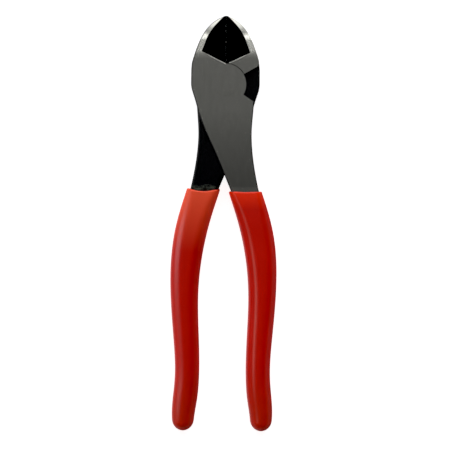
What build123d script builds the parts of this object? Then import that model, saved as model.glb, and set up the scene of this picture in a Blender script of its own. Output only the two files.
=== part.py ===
from build123d import *
import os
from math import cos, radians, sin, sqrt, tan

# Diagonal cutting pliers, 8 inch class, lying flat with the jaws shut.
# Units are millimetres. +Y runs from the pivot to the tip of the jaws and +Z is up along the
# pivot axis. The origin is where the pivot axis meets the flat that the tool lies on.
# Both levers are one forging: the back lever is the front one turned over about the long axis.
# So each piece is modelled about the mid plane, where the two laps meet at Z = 0, and is lifted
# by HALF_THICKNESS as it is written.

# Overall
HALF_THICKNESS = 6.0  # mid plane to a ground face of the head
TIP_Y = 34.2  # pivot to the tip of the jaws
TAIL_Y = -169.4  # pivot to the end of the grips
CLEAR = 40.0  # cutting bodies reach this far past the steel

# Lap joint
LAP_GAP = 0.05  # each lap stands this far off the mid plane
BOSS_RADIUS = 10.1  # round boss of a lap
BOSS_GAP = 0.35  # running gap between a boss and the other lever's jaw
STOP_ANGLE = 29.6  # the radial stop shoulders lie this far above and below the X axis
CORNER_RADIUS = 16.45  # pivot to the outer corner of the arm's shoulder
CORNER_ANGLE = 31.2  # and its angle below the X axis
CHEEK_ROUND = 2.8  # upright corner of the jaw beside the stop shoulder
ARM_ROOT_RADIUS = 20.0  # the arm has its full thickness outside this radius
ARM_GAP = 0.45  # gap beside the other lever's arm, measured along X

# Jaws
EDGE_GAP = 0.002  # each cutting edge stands this far off the centre line
EDGE_LAND = 0.06  # half height of the land along a cutting edge
MICRO_BEVEL = (0.5, 0.78)  # where the steep bevel ends: width, height
RELIEF_MIDDLE = (6.0, 3.02)  # a point half way up the hollow relief
RELIEF_END = (12.2, 5.95)  # where the relief would leave the steel
HEEL_Y = 10.15  # inner end of the walls that close the relief
HEEL_GAP = 0.3  # the back jaw's heel stands this much higher
HEEL_NOTCH = 1.5  # width of the notch between the heels of the two jaws
FRONT_WALL = (0.05, 26.3)  # wall on the boss side: start in X, slope in degrees
BACK_WALL = (-0.8, 25.6)  # wall on the lap side: start in X, slope in degrees
WALL_DRAFT = 6.0
WALL_BREAK = (0.45, 14.0)  # bevel along the top of a wall: width, angle

# Nose: the ground face turns down towards the tip
NOSE_START_Y = 12.8
NOSE_BLEND = 19.6
NOSE_FACET_ANGLE = 10.0
NOSE_FACET_END_Y = 22.0
NOSE_TIP_ANGLE = 21.0
NOSE_TIP_Z = 0.85

# Arms and the tangs inside the grips
TAPER_START_Y = -14.0  # the ground face of the arm slopes in from here
MOUTH_Y = -50.0
MOUTH_Z = 4.6  # half thickness at the mouth of the grip
ARM_BACK_Z = 4.6  # half thickness on the forged side
TANG_START_Y = -64.0
TANG_Z = 4.1
EDGE_ROUND = 0.45
FORGED_ROUND = 1.3

# Rivet
SHANK_RADIUS = 4.0
RUNNING_GAP = 0.03
HEAD_RADIUS = 5.6
HEAD_DEPTH = 1.6

# Grips
GRIP_HALF_THICKNESS = 6.0
GRIP_ROUND = 3.7
LIP_ROUND = 0.9
FRONT_GRIP_TOP_Y = -52.1
BACK_GRIP_TOP_Y = -51.1


def lever_plan():
    """Outline of the front lever: jaw at the upper left, boss, arm and tang at the lower right."""
    stop = radians(STOP_ANGLE)
    corner_turn = radians(CORNER_ANGLE)
    corner = (CORNER_RADIUS * cos(corner_turn), -CORNER_RADIUS * sin(corner_turn))
    foot = (BOSS_RADIUS * cos(stop), -BOSS_RADIUS * sin(stop))
    heel_x = FRONT_WALL[0]
    heel = (heel_x, sqrt(BOSS_RADIUS**2 - heel_x**2))
    with BuildLine() as outline:
        jaw = Spline(
            (-EDGE_GAP, TIP_Y), (-6.5, 30.6), (-12.5, 22.05), (-16.0, 12.25), (-16.8, 0.5),
            tangents=[(-1, -0.3), (0, -1)],
        )
        bulge = TangentArc(jaw @ 1, (-16.1, -3.5), tangent=(0, -1))
        inner = Spline(
            bulge @ 1, (-12.0, -16.7), (-6.4, -29.6), (2.85, -51.0), (11.4, -76.0),
            (14.35, -99.0), (13.45, -135.0), (15.0, -161.5),
            tangents=[bulge % 1, (0, -1)],
        )
        tail = TangentArc(inner @ 1, (22.5, -161.5), tangent=(0, -1))
        Spline(
            tail @ 1, (21.4, -143.0), (24.1, -95.0), (22.7, -76.0), (16.35, -49.7),
            (13.0, -24.5), corner,
            tangents=[(0, 1), (0.08, 1)],
        )
        Line(corner, foot)
        ThreePointArc(foot, (BOSS_RADIUS * cos(stop), BOSS_RADIUS * sin(stop)), heel)
        Polyline(heel, (heel_x, HEEL_Y), (-EDGE_GAP, HEEL_Y), jaw @ 0)
    return make_face(outline.line)


def jaw_plan(plan):
    """The part of the outline that keeps the full thickness above the stop shoulder."""
    wall_x = -HEEL_NOTCH
    slope = tan(radians(STOP_ANGLE))
    heel_y = HEEL_Y + HEEL_GAP
    zone = Polyline(
        (-EDGE_GAP, CLEAR), (-EDGE_GAP, heel_y), (wall_x, heel_y), (wall_x, -wall_x * slope),
        (-CLEAR, CLEAR * slope), (-CLEAR, CLEAR), (-EDGE_GAP, CLEAR),
    )
    jaw = plan & make_face(zone)
    cheek = jaw.vertices().sort_by(Axis.X)[0]
    return fillet(cheek, CHEEK_ROUND) - Circle(BOSS_RADIUS + BOSS_GAP)


def arm_plan(plan):
    """The part of the outline that keeps the full thickness beside the other lever's arm."""
    other = Pos(ARM_GAP, 0) * mirror(plan, about=Plane.YZ)
    below = Pos(0, TAIL_Y / 2) * Rectangle(4 * CLEAR, -TAIL_Y)
    return (plan & below) - other - Circle(ARM_ROOT_RADIUS)


def side_profile():
    """Both faces of a lever seen along X: nose, ground head, tapering arm and tang."""
    facet = radians(NOSE_FACET_ANGLE)
    tip_turn = radians(NOSE_TIP_ANGLE)
    blend_y = NOSE_START_Y + NOSE_BLEND * sin(facet)
    blend_z = HALF_THICKNESS - NOSE_BLEND * (1 - cos(facet))
    ramp_z = blend_z - (NOSE_FACET_END_Y - blend_y) * tan(facet)
    with BuildLine() as upper:
        tang = Polyline((TAIL_Y, 0), (TAIL_Y, TANG_Z), (TANG_START_Y, TANG_Z), (MOUTH_Y, MOUTH_Z))
        flat = Line((TAPER_START_Y, HALF_THICKNESS), (NOSE_START_Y, HALF_THICKNESS))
        TangentArc(flat @ 0, tang @ 1, tangent=(-1, 0))
        blend = TangentArc(flat @ 1, (blend_y, blend_z), tangent=(1, 0))
        ramp = Line(blend @ 1, (NOSE_FACET_END_Y, ramp_z))
        nose = Spline(
            ramp @ 1, (TIP_Y, NOSE_TIP_Z), tangents=[ramp % 1, (cos(tip_turn), -sin(tip_turn))],
        )
        Polyline(nose @ 1, (TIP_Y + 1, NOSE_TIP_Z), (TIP_Y + 1, 0), (TAIL_Y, 0))
    half = Plane.YZ * make_face(upper.line)
    return extrude(half, CLEAR, both=True) + extrude(mirror(half, about=Plane.XY), CLEAR, both=True)


def relief_cutter(wall):
    """Hollow relief behind the front cutting edge of the left jaw, closed by a drafted wall."""
    start_x, slope = wall
    heel_x = FRONT_WALL[0]
    with BuildLine() as profile:
        micro = Line((-EDGE_GAP, EDGE_LAND), (-MICRO_BEVEL[0], MICRO_BEVEL[1]))
        hollow = ThreePointArc(
            micro @ 1, (-RELIEF_MIDDLE[0], RELIEF_MIDDLE[1]), (-RELIEF_END[0], RELIEF_END[1])
        )
        Polyline(
            hollow @ 1, (-CLEAR, RELIEF_END[1]), (-CLEAR, CLEAR), (heel_x, CLEAR),
            (heel_x, EDGE_LAND), micro @ 0,
        )
    section = Plane.XZ * make_face(profile.line)
    top_edge = Pos(start_x, HEEL_Y, HALF_THICKNESS) * Rot(0, 0, -slope)
    beyond = top_edge * Rot(WALL_DRAFT, 0, 0) * Pos(0, CLEAR, 0) * Box(4 * CLEAR, 2 * CLEAR, 4 * CLEAR)
    width, angle = WALL_BREAK
    bevel = top_edge * Pos(0, -width, 0) * Rot(-angle, 0, 0)
    bevel *= Pos(0, CLEAR, CLEAR) * Box(4 * CLEAR, 2 * CLEAR, 2 * CLEAR)
    return extrude(section, CLEAR, both=True) & (beyond + bevel)


def rivet(gap):
    """Hot rivet with two flush countersunk heads, or with a gap the hole that it turns in."""
    shank = Cylinder(SHANK_RADIUS + gap, 2 * HALF_THICKNESS)
    cone = Cone(SHANK_RADIUS + gap, HEAD_RADIUS + gap, HEAD_DEPTH)
    head = Pos(0, 0, HALF_THICKNESS - HEAD_DEPTH / 2) * cone
    return shank + head + mirror(head, about=Plane.XY)


def rounded(forging):
    """Round the outer edges: a fine round on the ground side, a forged one on the back of the arm."""
    curves = forging.edges().filter_by(GeomType.LINE, reverse=True)
    rim = curves.filter_by(lambda edge: edge.bounding_box().min.Z > TANG_Z - 0.1)
    rim = rim.filter_by(lambda edge: abs(edge.center().X) > BOSS_RADIUS or edge.center().Y < TAPER_START_Y)
    forging = fillet(rim, EDGE_ROUND)
    curves = forging.edges().filter_by(GeomType.LINE, reverse=True)
    back = curves.filter_by(lambda edge: edge.bounding_box().max.Z < 0.1 - TANG_Z)
    back = back.filter_by(lambda edge: edge.center().X > 12.5 and edge.length > FORGED_ROUND)
    return fillet(back, FORGED_ROUND)


def lever(gap):
    """One lever, drawn as the front one, with its rivet hole opened by the gap."""
    plan = lever_plan()
    lap = extrude(Pos(0, 0, LAP_GAP) * plan, HALF_THICKNESS)
    jaw = extrude(Pos(0, 0, -HALF_THICKNESS) * jaw_plan(plan), HALF_THICKNESS + LAP_GAP)
    arm = extrude(Pos(0, 0, -ARM_BACK_Z) * arm_plan(plan), ARM_BACK_Z + LAP_GAP)
    forging = rounded((lap + jaw + arm) & side_profile())
    front_relief = relief_cutter(FRONT_WALL)
    back_relief = mirror(relief_cutter(BACK_WALL), about=Plane.XY)
    return forging - front_relief - back_relief - rivet(gap)


def grip(top_y, tang):
    """Dipped grip: a rounded skin over the tang, drawn for the front lever."""
    with BuildLine() as outline:
        inner = Spline(
            (1.75, top_y), (9.1, -76.0), (12.2, -100.0), (11.4, -134.8), (12.3, -154.4), (13.8, -164.6),
            tangents=[(0.38, -1), (0.1, -1)],
        )
        tail = TangentArc(inner @ 1, (24.5, -164.6), tangent=inner % 1)
        outer = Spline(
            tail @ 1, (23.45, -144.6), (24.2, -125.0), (26.1, -95.0), (24.9, -76.0), (18.3, top_y),
            tangents=[(0.1, 1), (-0.36, 1)],
        )
        Line(outer @ 1, inner @ 0)
    skin = extrude(make_face(outline.line), GRIP_HALF_THICKNESS, both=True)
    faces = skin.faces().sort_by(Axis.Z)
    long_edges = (faces[0].edges() + faces[-1].edges()).filter_by(lambda edge: edge.center().Y < top_y)
    skin = fillet(long_edges, GRIP_ROUND)
    skin = fillet(skin.faces().sort_by(Axis.Y)[-1].edges(), LIP_ROUND)
    return skin - tang


def turned_over(piece):
    """The back lever's copy of a piece drawn for the front lever."""
    return Rot(0, 180, 0) * piece


def write(name, piece):
    """Stand a piece on the ground plane and write it as its own file."""
    standing = Pos(0, 0, HALF_THICKNESS) * piece
    standing.label = name
    export_step(standing, f"parts/{name}.step")


os.makedirs("parts", exist_ok=True)
front = lever(RUNNING_GAP)
back = turned_over(lever(0.0))
write("front_lever", front)
write("back_lever", back)
write("pivot_rivet", rivet(0.0))
write("front_grip", grip(FRONT_GRIP_TOP_Y, front))
write("back_grip", turned_over(grip(BACK_GRIP_TOP_Y, front)))
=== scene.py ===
import math

import bmesh
import bpy
import numpy as np
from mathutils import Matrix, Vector, noise


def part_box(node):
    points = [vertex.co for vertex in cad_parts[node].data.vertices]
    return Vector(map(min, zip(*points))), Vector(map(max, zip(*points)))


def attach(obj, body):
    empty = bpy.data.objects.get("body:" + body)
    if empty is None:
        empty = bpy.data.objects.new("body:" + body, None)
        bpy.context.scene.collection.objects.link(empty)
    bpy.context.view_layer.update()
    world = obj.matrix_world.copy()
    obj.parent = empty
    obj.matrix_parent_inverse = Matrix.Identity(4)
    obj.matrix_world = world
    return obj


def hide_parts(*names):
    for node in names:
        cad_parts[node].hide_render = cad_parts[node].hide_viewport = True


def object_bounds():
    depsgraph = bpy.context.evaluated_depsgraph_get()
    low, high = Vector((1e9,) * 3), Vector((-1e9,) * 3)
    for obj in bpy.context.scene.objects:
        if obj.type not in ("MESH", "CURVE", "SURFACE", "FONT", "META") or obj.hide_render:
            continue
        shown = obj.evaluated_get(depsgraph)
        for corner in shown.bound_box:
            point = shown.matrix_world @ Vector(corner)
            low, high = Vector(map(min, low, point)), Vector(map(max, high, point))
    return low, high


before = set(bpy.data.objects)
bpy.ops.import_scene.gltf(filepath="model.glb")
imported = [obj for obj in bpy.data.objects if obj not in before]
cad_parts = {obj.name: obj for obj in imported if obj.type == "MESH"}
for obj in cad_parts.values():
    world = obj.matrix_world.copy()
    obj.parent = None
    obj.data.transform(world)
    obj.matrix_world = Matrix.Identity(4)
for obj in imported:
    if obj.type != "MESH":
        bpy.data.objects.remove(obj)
cad_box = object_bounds()
MM = 0.001
MID_Z = (cad_box[0].z + cad_box[1].z) / 2
HALF_THICKNESS = (cad_box[1].z - cad_box[0].z) / 2
LEVERS = {"front_lever": 1, "back_lever": -1}  # the back lever is the front one turned over
GRIPS = {"front_grip": "front_lever", "back_grip": "back_lever"}


# Materials

def new_material(name):
    """An empty node material: the material, its node tree and its Principled shader."""
    material = bpy.data.materials.new(name)
    material.use_nodes = True
    return material, material.node_tree, material.node_tree.nodes["Principled BSDF"]


def add_node(tree, kind, settings=None, **inputs):
    """Add a node, set its properties, and set or link its inputs. An input goes by its name, with
    _ for a space, or by its number after a _."""
    node = tree.nodes.new(kind)
    for key, value in (settings or {}).items():
        setattr(node, key, value)
    for key, value in inputs.items():
        socket = node.inputs[int(key[1:])] if key[0] == "_" else node.inputs[key.replace("_", " ")]
        if isinstance(value, bpy.types.NodeSocket):
            tree.links.new(value, socket)
        else:
            socket.default_value = value
    return node


def object_point(tree, scale=(1, 1, 1)):
    """Object coordinates in units of the given scale."""
    place = add_node(tree, "ShaderNodeTexCoord").outputs["Object"]
    return add_node(tree, "ShaderNodeMapping", Vector=place, Scale=scale).outputs["Vector"]


def spots(tree, scale, detail=3.0, roughness=0.55):
    """Noise from 0 to 1 with a scale along each axis, in spots to a metre."""
    node = add_node(
        tree, "ShaderNodeTexNoise",
        Vector=object_point(tree, scale), Scale=1.0, Detail=detail, Roughness=roughness,
    )
    return node.outputs["Fac"]


def remap(tree, value, low, high, to_low, to_high):
    """Map a range of a value onto another, clamped at both ends."""
    node = add_node(
        tree, "ShaderNodeMapRange", _0=value, _1=low, _2=high, _3=to_low, _4=to_high
    )
    return node.outputs[0]


def blend_colors(tree, factor, first, second):
    """Mix two colours by a factor."""
    node = add_node(
        tree, "ShaderNodeMix", {"data_type": "RGBA"}, _0=factor, _6=first, _7=second
    )
    return node.outputs[2]


def math_node(tree, operation, first, second=0.0):
    """The result of a sum on one or two values."""
    return add_node(tree, "ShaderNodeMath", {"operation": operation}, _0=first, _1=second).outputs[0]


def ground_steel(name, smooth, rough):
    """Steel ground along the tool, with fine scratches, between two roughnesses."""
    material, tree, shader = new_material(name)
    scratches = spots(tree, (9000, 130, 9000))
    broad = spots(tree, (700, 150, 700))
    color = blend_colors(tree, broad, (0.4, 0.4, 0.37, 1), (0.48, 0.48, 0.445, 1))
    tree.links.new(color, shader.inputs["Base Color"])
    tree.links.new(remap(tree, scratches, 0.3, 0.7, smooth, rough), shader.inputs["Roughness"])
    bump = add_node(tree, "ShaderNodeBump", Strength=0.15, Distance=0.00001, Height=scratches)
    tree.links.new(bump.outputs["Normal"], shader.inputs["Normal"])
    across = add_node(
        tree, "ShaderNodeVectorTransform",
        {"vector_type": "VECTOR", "convert_from": "OBJECT", "convert_to": "WORLD"},
        Vector=(1, 0, 0),
    )
    tree.links.new(across.outputs["Vector"], shader.inputs["Tangent"])
    shader.inputs["Anisotropic"].default_value = 0.7
    shader.inputs["Specular Tint"].default_value = (0.7, 0.7, 0.7, 1)
    shader.inputs["Metallic"].default_value = 1.0
    return material


SMEAR_Y = (-46.6 * MM, -50.0 * MM)  # the oxide is rubbed in patches just above the grips


def black_oxide():
    """Forged skin, blacked and oiled, slightly grained, and rubbed paler beside the grips."""
    material, tree, shader = new_material("black_oxide")
    grain = spots(tree, (2500, 2500, 2500), 4.0)
    steel = blend_colors(tree, grain, (0.0015, 0.0016, 0.002, 1), (0.004, 0.0043, 0.0052, 1))
    point = add_node(tree, "ShaderNodeSeparateXYZ", Vector=object_point(tree))
    patches = spots(tree, (330, 700, 330), roughness=0.8)
    near = remap(tree, point.outputs["Y"], *SMEAR_Y, 0.0, 0.5)
    ragged = math_node(tree, "ADD", near, patches)
    smear = remap(tree, ragged, 0.88, 1.2, 0.0, 1.0)
    color = blend_colors(tree, smear, steel, (0.085, 0.1, 0.078, 1))
    tree.links.new(color, shader.inputs["Base Color"])
    tree.links.new(remap(tree, grain, 0.3, 0.7, 0.12, 0.17), shader.inputs["Roughness"])
    bump = add_node(tree, "ShaderNodeBump", Strength=0.2, Distance=0.00004, Height=grain)
    tree.links.new(bump.outputs["Normal"], shader.inputs["Normal"])
    shader.inputs["IOR"].default_value = 1.4
    return material


MOUTH_Y = -53 * MM
TAIL_TONE_Y = (-138 * MM, -160 * MM)  # the tails are a little browner, from the first height down


def dipped_vinyl(name, mouth_tint_and_sheen, fade_y):
    """Glossy red vinyl with a faint orange peel, paler and more orange from fade_y up to its mouth: partly
    its own thinner dip there, partly a painted sheen.
    """
    material, tree, shader = new_material(name)
    broad = spots(tree, (90, 45, 90), 2.0)
    peel = spots(tree, (700, 500, 700), 2.0)
    body = blend_colors(tree, broad, (0.585, 0.0065, 0.0015, 1), (0.66, 0.01, 0.0025, 1))
    height = add_node(tree, "ShaderNodeSeparateXYZ", Vector=object_point(tree)).outputs["Y"]
    # Paler and more orange towards the mouth: partly the thinner dip, partly a painted sheen
    thin_dip_and_sheen = remap(tree, height, fade_y, MOUTH_Y, 0.0, 1.0)
    # A darker, browner tone towards the tails, set by height alone
    tail_tone = remap(tree, height, *TAIL_TONE_Y, 0.0, 1.0)
    tail = blend_colors(tree, tail_tone, body, (0.55, 0.014, 0.001, 1))
    color = blend_colors(tree, thin_dip_and_sheen, tail, mouth_tint_and_sheen)
    tree.links.new(color, shader.inputs["Base Color"])
    tree.links.new(remap(tree, peel, 0.3, 0.7, 0.285, 0.32), shader.inputs["Roughness"])
    bump = add_node(tree, "ShaderNodeBump", Strength=0.15, Distance=0.0001, Height=peel)
    tree.links.new(bump.outputs["Normal"], shader.inputs["Normal"])
    shader.inputs["IOR"].default_value = 1.4
    return material


GROUND = ground_steel("ground_steel", 0.18, 0.26)
STONED = ground_steel("stoned_steel", 0.6, 0.75)
OXIDE = black_oxide()
STEELS = (OXIDE, GROUND, STONED)
# The mouth colours are partly a paler thin dip and partly painted sheen: on the back grip a broad,
# desaturated orange painted reflection down to y = -82 mm, on the front grip a narrow painted orange band
# under the lip
VINYL = {
    "front_grip": dipped_vinyl("front_vinyl", (0.95, 0.03, 0.004, 1), -61 * MM),
    "back_grip": dipped_vinyl("back_vinyl", (0.96, 0.084, 0.032, 1), -82 * MM),
}


# Levers and rivet: the CAD shapes, ground on their flat faces and black elsewhere

FLAT = 0.85  # least height of a ground face's normal
LEVEL = 0.03  # most sideways lean of a ground face's normal
BROKEN = 0.12  # and of a bevel that a stone broke along the top of a wall
LAP_DEPTH = 0.5 * MM  # a lap face lies nearer to the mid plane than this
ARM_START_Y = -5 * MM


def finish(centre, normal, side):
    """Number in STEELS of the finish of a lever's face. A side of -1 turns the lever over, so both
    levers are judged as the front one."""
    height = (centre.z - MID_Z) * side
    up = normal.z * side
    if abs(up) < FLAT or abs(normal.x) > BROKEN or abs(height) < LAP_DEPTH:
        return 0
    if up < 0 and centre.y < ARM_START_Y:
        return 0
    return 1 if abs(normal.x) < LEVEL else 2


for name, side in LEVERS.items():
    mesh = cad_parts[name].data
    mesh.materials.clear()
    for steel in STEELS:
        mesh.materials.append(steel)
    for face in mesh.polygons:
        face.material_index = finish(face.center, face.normal, side)

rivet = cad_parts["pivot_rivet"]
rivet.data.materials.clear()
rivet.data.materials.append(GROUND)
steel_pieces = [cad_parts[name] for name in LEVERS] + [rivet]


# Grips: dipped skins lofted round the CAD outline

def cut(node, y):
    """The box of a CAD node's section at a height along the tool: lowest and highest X and Z."""
    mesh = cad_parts[node].data
    points = np.empty(len(mesh.vertices) * 3)
    mesh.vertices.foreach_get("co", points)
    points = points.reshape(-1, 3)
    ends = np.empty(len(mesh.edges) * 2, dtype=int)
    mesh.edges.foreach_get("vertices", ends)
    first, second = points[ends[::2]], points[ends[1::2]]
    crossing = (first[:, 1] - y) * (second[:, 1] - y) < 0
    first, second = first[crossing], second[crossing]
    share = ((y - first[:, 1]) / (second[:, 1] - first[:, 1]))[:, None]
    met = first + share * (second - first)
    return met[:, 0].min(), met[:, 0].max(), met[:, 2].min(), met[:, 2].max()


CORNER_STEPS = 6
FACE_STEPS = 6
SIDE_STEPS = 2
MOST_ROUND = 0.95  # a corner's radius is at most this share of the half width or half thickness
CROWN = 0.05  # a face's edges lie lower than its middle by this share of the half thickness


def between(start, end, steps):
    """The points that divide a line into equal steps, without its ends."""
    return [
        (start[0] + (end[0] - start[0]) * step / steps, start[1] + (end[1] - start[1]) * step / steps)
        for step in range(1, steps)
    ]


def section(low_x, high_x, half_z, radius):
    """Points round a rounded box in X and Z about the mid plane, the top and bottom crowned."""
    middle, half_x = (low_x + high_x) / 2, (high_x - low_x) / 2
    radius = min(radius, MOST_ROUND * half_x, MOST_ROUND * half_z)
    left, right, flat = low_x + radius, high_x - radius, half_z - radius
    centres = ((right, flat), (left, flat), (left, -flat), (right, -flat))
    points = []
    for quarter, (x, z) in enumerate(centres):
        arc = []
        for step in range(CORNER_STEPS + 1):
            angle = math.radians(90 * (quarter + step / CORNER_STEPS))
            arc.append((x + radius * math.cos(angle), z + radius * math.sin(angle)))
        if points:
            points += between(points[-1], arc[0], FACE_STEPS if quarter % 2 else SIDE_STEPS)
        points += arc
    points += between(points[-1], points[0], SIDE_STEPS)
    return [(x, MID_Z + z * (1 - CROWN * ((x - middle) / half_x) ** 2)) for x, z in points]


BODY_RADIUS = 5.6 * MM
MOUTH_RADIUS = 3.6 * MM
MOUTH_LIFT = {"front_grip": 0.1 * MM, "back_grip": 0.4 * MM}  # the mouth's corners rise this far
MOUTH_SAG = {"front_grip": 0.4 * MM, "back_grip": 1.5 * MM}  # and its middle is this much lower
SAG_LENGTH = 12 * MM
TAIL_ROUND = 4.0 * MM
LIP = 0.8 * MM
LIP_STEPS = 5
BODY_STEPS = 54
SOCKET_DEPTH = 4 * MM
SOCKET_RADIUS = 0.6 * MM
SOCKET_TOP = 0.15 * MM  # the socket's wall ends this far below the lip
SWELL_LENGTH = 22 * MM  # the grip reaches its full section this far below the mouth
MOUTH_DROP = 0.5 * MM  # the faces are this much lower at the mouth
TAIL_CLEAR = 0.02 * MM  # the last section is this far inside the end of the CAD grip
WAVE = 0.07 * MM  # height of the unevenness of the dip
WAVE_SCALE = 70  # waves to a metre


def grip_sections(name):
    """Sections of a grip from inside its mouth to its tail, as (y, points)."""
    low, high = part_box(name)
    top_y, tail_y = high.y, low.y
    tang = cut(GRIPS[name], top_y - LIP)
    tang_half = (tang[3] - tang[2]) / 2
    socket = section(tang[0], tang[1], tang_half, SOCKET_RADIUS)
    rings = [(top_y - depth, socket) for depth in (SOCKET_DEPTH, LIP, SOCKET_TOP)]
    for step in range(LIP_STEPS + 1):
        angle = math.radians(90 * step / LIP_STEPS)
        y = top_y - LIP * (1 - math.cos(angle))
        inset = LIP * (1 - math.sin(angle))
        x0, x1 = cut(name, top_y - LIP)[:2]
        half = HALF_THICKNESS - MOUTH_DROP - inset
        rings.append((y, section(x0 + inset, x1 - inset, half, MOUTH_RADIUS - inset / 2)))
    length = top_y - LIP - tail_y
    for step in range(1, BODY_STEPS + 1):
        turn = step / BODY_STEPS
        y = top_y - LIP - length * math.sin(math.radians(90 * turn))
        y = max(y, tail_y + TAIL_CLEAR)
        x0, x1 = cut(name, y)[:2]
        down = min(1, (top_y - y) / SWELL_LENGTH)
        drop = MOUTH_DROP * (1 - down) ** 2
        radius = MOUTH_RADIUS + (BODY_RADIUS - MOUTH_RADIUS) * down * (2 - down)
        left = min(y - tail_y, TAIL_ROUND)
        round_off = TAIL_ROUND - math.sqrt(TAIL_ROUND**2 - (TAIL_ROUND - left) ** 2)
        rings.append((y, section(x0, x1, HALF_THICKNESS - drop - round_off, radius)))
    return rings


def skin(name, rings):
    """A closed mesh through sections with equal numbers of points, its mouth curved down."""
    mesh = bpy.data.meshes.new(name + "_skin")
    shape = bmesh.new()
    mouth_y = max(y for y, points in rings)
    loops = []
    for y, points in rings:
        low_x, high_x = min(x for x, z in points), max(x for x, z in points)
        near = max(0, 1 - (mouth_y - y) / SAG_LENGTH) ** 2
        loop = []
        for x, z in points:
            across = (2 * x - low_x - high_x) / (high_x - low_x)
            rise = near * (MOUTH_LIFT[name] - MOUTH_SAG[name] * (1 - across**2))
            loop.append(shape.verts.new((x, y + rise, z)))
        loops.append(loop)
    for above, below in zip(loops, loops[1:]):
        for i in range(len(above)):
            j = (i + 1) % len(above)
            shape.faces.new((above[i], above[j], below[j], below[i]))
    shape.faces.new(reversed(loops[0]))
    shape.faces.new(loops[-1])
    bmesh.ops.recalc_face_normals(shape, faces=shape.faces)
    for vertex in shape.verts:
        vertex.co.z += WAVE * noise.noise(vertex.co * WAVE_SCALE)
    shape.to_mesh(mesh)
    shape.free()
    for face in mesh.polygons:
        face.use_smooth = True
    piece = bpy.data.objects.new(name + "_skin", mesh)
    bpy.context.scene.collection.objects.link(piece)
    smooth = piece.modifiers.new("smooth", "SUBSURF")
    smooth.levels = smooth.render_levels = 2
    return piece


skins = {}
for name in GRIPS:
    piece = skin(name, grip_sections(name))
    piece.data.materials.append(VINYL[name])
    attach(piece, "front_half" if name.startswith("front") else "back_half")
    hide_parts(name)
    skins[name] = piece


# Floor, camera and light

VIEW_WIDTH = 220.5 * MM
VIEW_CENTRE = Vector((0.5, -68.6, 8.0)) * MM
LENS = 120.0
SENSOR = 36.0
ROLL = math.radians(0.62)
FLOOR_SIZE = 12.0
BACKDROP_RADIUS = 5.8
BACKDROP_HEIGHT = 4.0

bpy.ops.mesh.primitive_plane_add(size=FLOOR_SIZE, location=(0, 0, -0.05 * MM))
floor = bpy.context.object
floor.name = "floor"
white, tree, shader = new_material("floor_white")
shader.inputs["Base Color"].default_value = (0.8, 0.8, 0.8, 1)
shader.inputs["Emission Color"].default_value = (1, 1, 1, 1)
shader.inputs["Emission Strength"].default_value = 0.9
shader.inputs["Roughness"].default_value = 0.9
floor.data.materials.append(white)
bpy.ops.mesh.primitive_cylinder_add(
    vertices=96, radius=BACKDROP_RADIUS, depth=BACKDROP_HEIGHT, end_fill_type="NOTHING",
    location=(0, 0, 0),
)
backdrop = bpy.context.object
backdrop.name = "backdrop"
backdrop.data.materials.append(white)
backdrop.visible_diffuse = backdrop.visible_shadow = False
for stage in (floor, backdrop):
    stage.visible_glossy = False

camera_data = bpy.data.cameras.new("camera")
camera_data.lens = LENS
camera_data.sensor_width = SENSOR
camera = bpy.data.objects.new("camera", camera_data)
bpy.context.scene.collection.objects.link(camera)
camera.location = VIEW_CENTRE + Vector((0, 0, VIEW_WIDTH * LENS / SENSOR))
camera.rotation_euler = (0, 0, ROLL)
bpy.context.scene.camera = camera

# The sky: a glow overhead that peaks towards the tip, falls off sideways and meets a pale band low
# down, and below the horizon the light that the left of the table throws back
world = bpy.data.worlds.new("studio")
world.use_nodes = True
bpy.context.scene.world = world
sky = world.node_tree
direction = add_node(sky, "ShaderNodeTexCoord").outputs["Generated"]
toward = add_node(sky, "ShaderNodeSeparateXYZ", Vector=direction)
glow = add_node(sky, "ShaderNodeValToRGB", Fac=remap(sky, toward.outputs["Y"], -0.2, 0.8, 0.0, 1.0))
GLOW = ((0.0, 0.07), (0.2, 0.15), (0.32, 0.245), (0.5, 0.36), (0.65, 0.5), (0.8, 0.25), (1.0, 0.25))
while len(glow.color_ramp.elements) < len(GLOW):
    glow.color_ramp.elements.new(0.5)
for element, (place, value) in zip(glow.color_ramp.elements, GLOW):
    element.position = place
    element.color = (value, value, value, 1)
below = remap(sky, toward.outputs["Z"], -0.02, 0.1, 1.0, 0.0)
left = remap(sky, toward.outputs["X"], -0.3, 0.0, 1.0, 0.05)
down = remap(sky, toward.outputs["Z"], -0.2, -0.9, 0.12, 0.8)
under = math_node(sky, "MULTIPLY", left, down)
aside = math_node(sky, "ABSOLUTE", toward.outputs["X"])
overhead = remap(sky, aside, 0.3, 0.62, 1.0, 0.15)
above = add_node(
    sky, "ShaderNodeVectorMath", {"operation": "SCALE"}, Vector=glow.outputs["Color"], Scale=overhead
)
rim = remap(sky, toward.outputs["X"], 0.2, 0.7, 0.55, 0.35)
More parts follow.
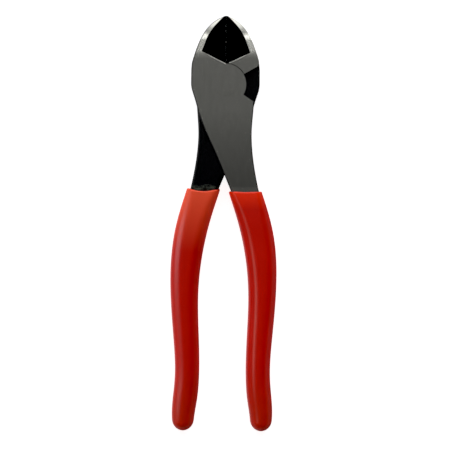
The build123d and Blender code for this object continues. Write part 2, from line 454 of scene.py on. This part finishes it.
low = remap(sky, toward.outputs["Z"], 0.36, 0.2, 0.0, 1.0)
dome = blend_colors(sky, low, above.outputs["Vector"], rim)
surround = blend_colors(sky, below, dome, under)
sky.links.new(surround, sky.nodes["Background"].inputs["Color"])


LIGHT_DISTANCE = 1.3


def softbox(name, azimuth, leans, width, radiance, color=(1, 1, 1), only=()):
    """A rectangular area light facing the tool. Azimuth 0 is over the tip of the jaws and 90 over
    the left side, and it spans the leans, which are angles from straight above. Given some pieces
    in only, it lights nothing else."""
    data = bpy.data.lights.new(name, "AREA")
    data.shape = "RECTANGLE"
    lean = math.radians(sum(leans) / 2)
    data.size = width
    data.size_y = 2 * LIGHT_DISTANCE * math.tan(math.radians((leans[1] - leans[0]) / 2))
    data.energy = radiance * math.pi * data.size * data.size_y
    data.color = color
    light = bpy.data.objects.new(name, data)
    turn = math.radians(azimuth)
    direction = Vector((-math.sin(turn) * math.sin(lean), math.cos(turn) * math.sin(lean), math.cos(lean)))
    light.location = VIEW_CENTRE + direction * LIGHT_DISTANCE
    light.rotation_euler = (-direction).to_track_quat("-Z", "Y").to_euler()
    bpy.context.scene.collection.objects.link(light)
    if only:
        lit = bpy.data.collections.new(name + "_lit")
        for piece in only:
            lit.objects.link(piece)
        light.light_linking.receiver_collection = lit


BLACK_POINT = 0.006
softbox("left_box", 90, (60, 75), 1.4, 2.0, (0.93, 0.96, 1.0), steel_pieces)
softbox("outer_box", 88, (37, 76), 0.5, 1.75, (0.8, 0.88, 0.8), [skins["back_grip"]])
softbox("inner_box", 88, (31, 52), 0.55, 4.0, (1.0, 0.87, 0.74), [skins["front_grip"]])
softbox("mouth_box", 83, (38, 84), 0.2, 4.6, (0.55, 0.86, 1.0), [skins["back_grip"]])
softbox("tip_strip", 0, (34, 37.5), 1.2, 4.0)
softbox("tip_box", 0, (47, 75), 1.6, 1.9)
view = bpy.context.scene.view_settings
view.view_transform = "Standard"
view.use_curve_mapping = True
view.curve_mapping.black_level = (BLACK_POINT, BLACK_POINT, BLACK_POINT)
view.curve_mapping.update()
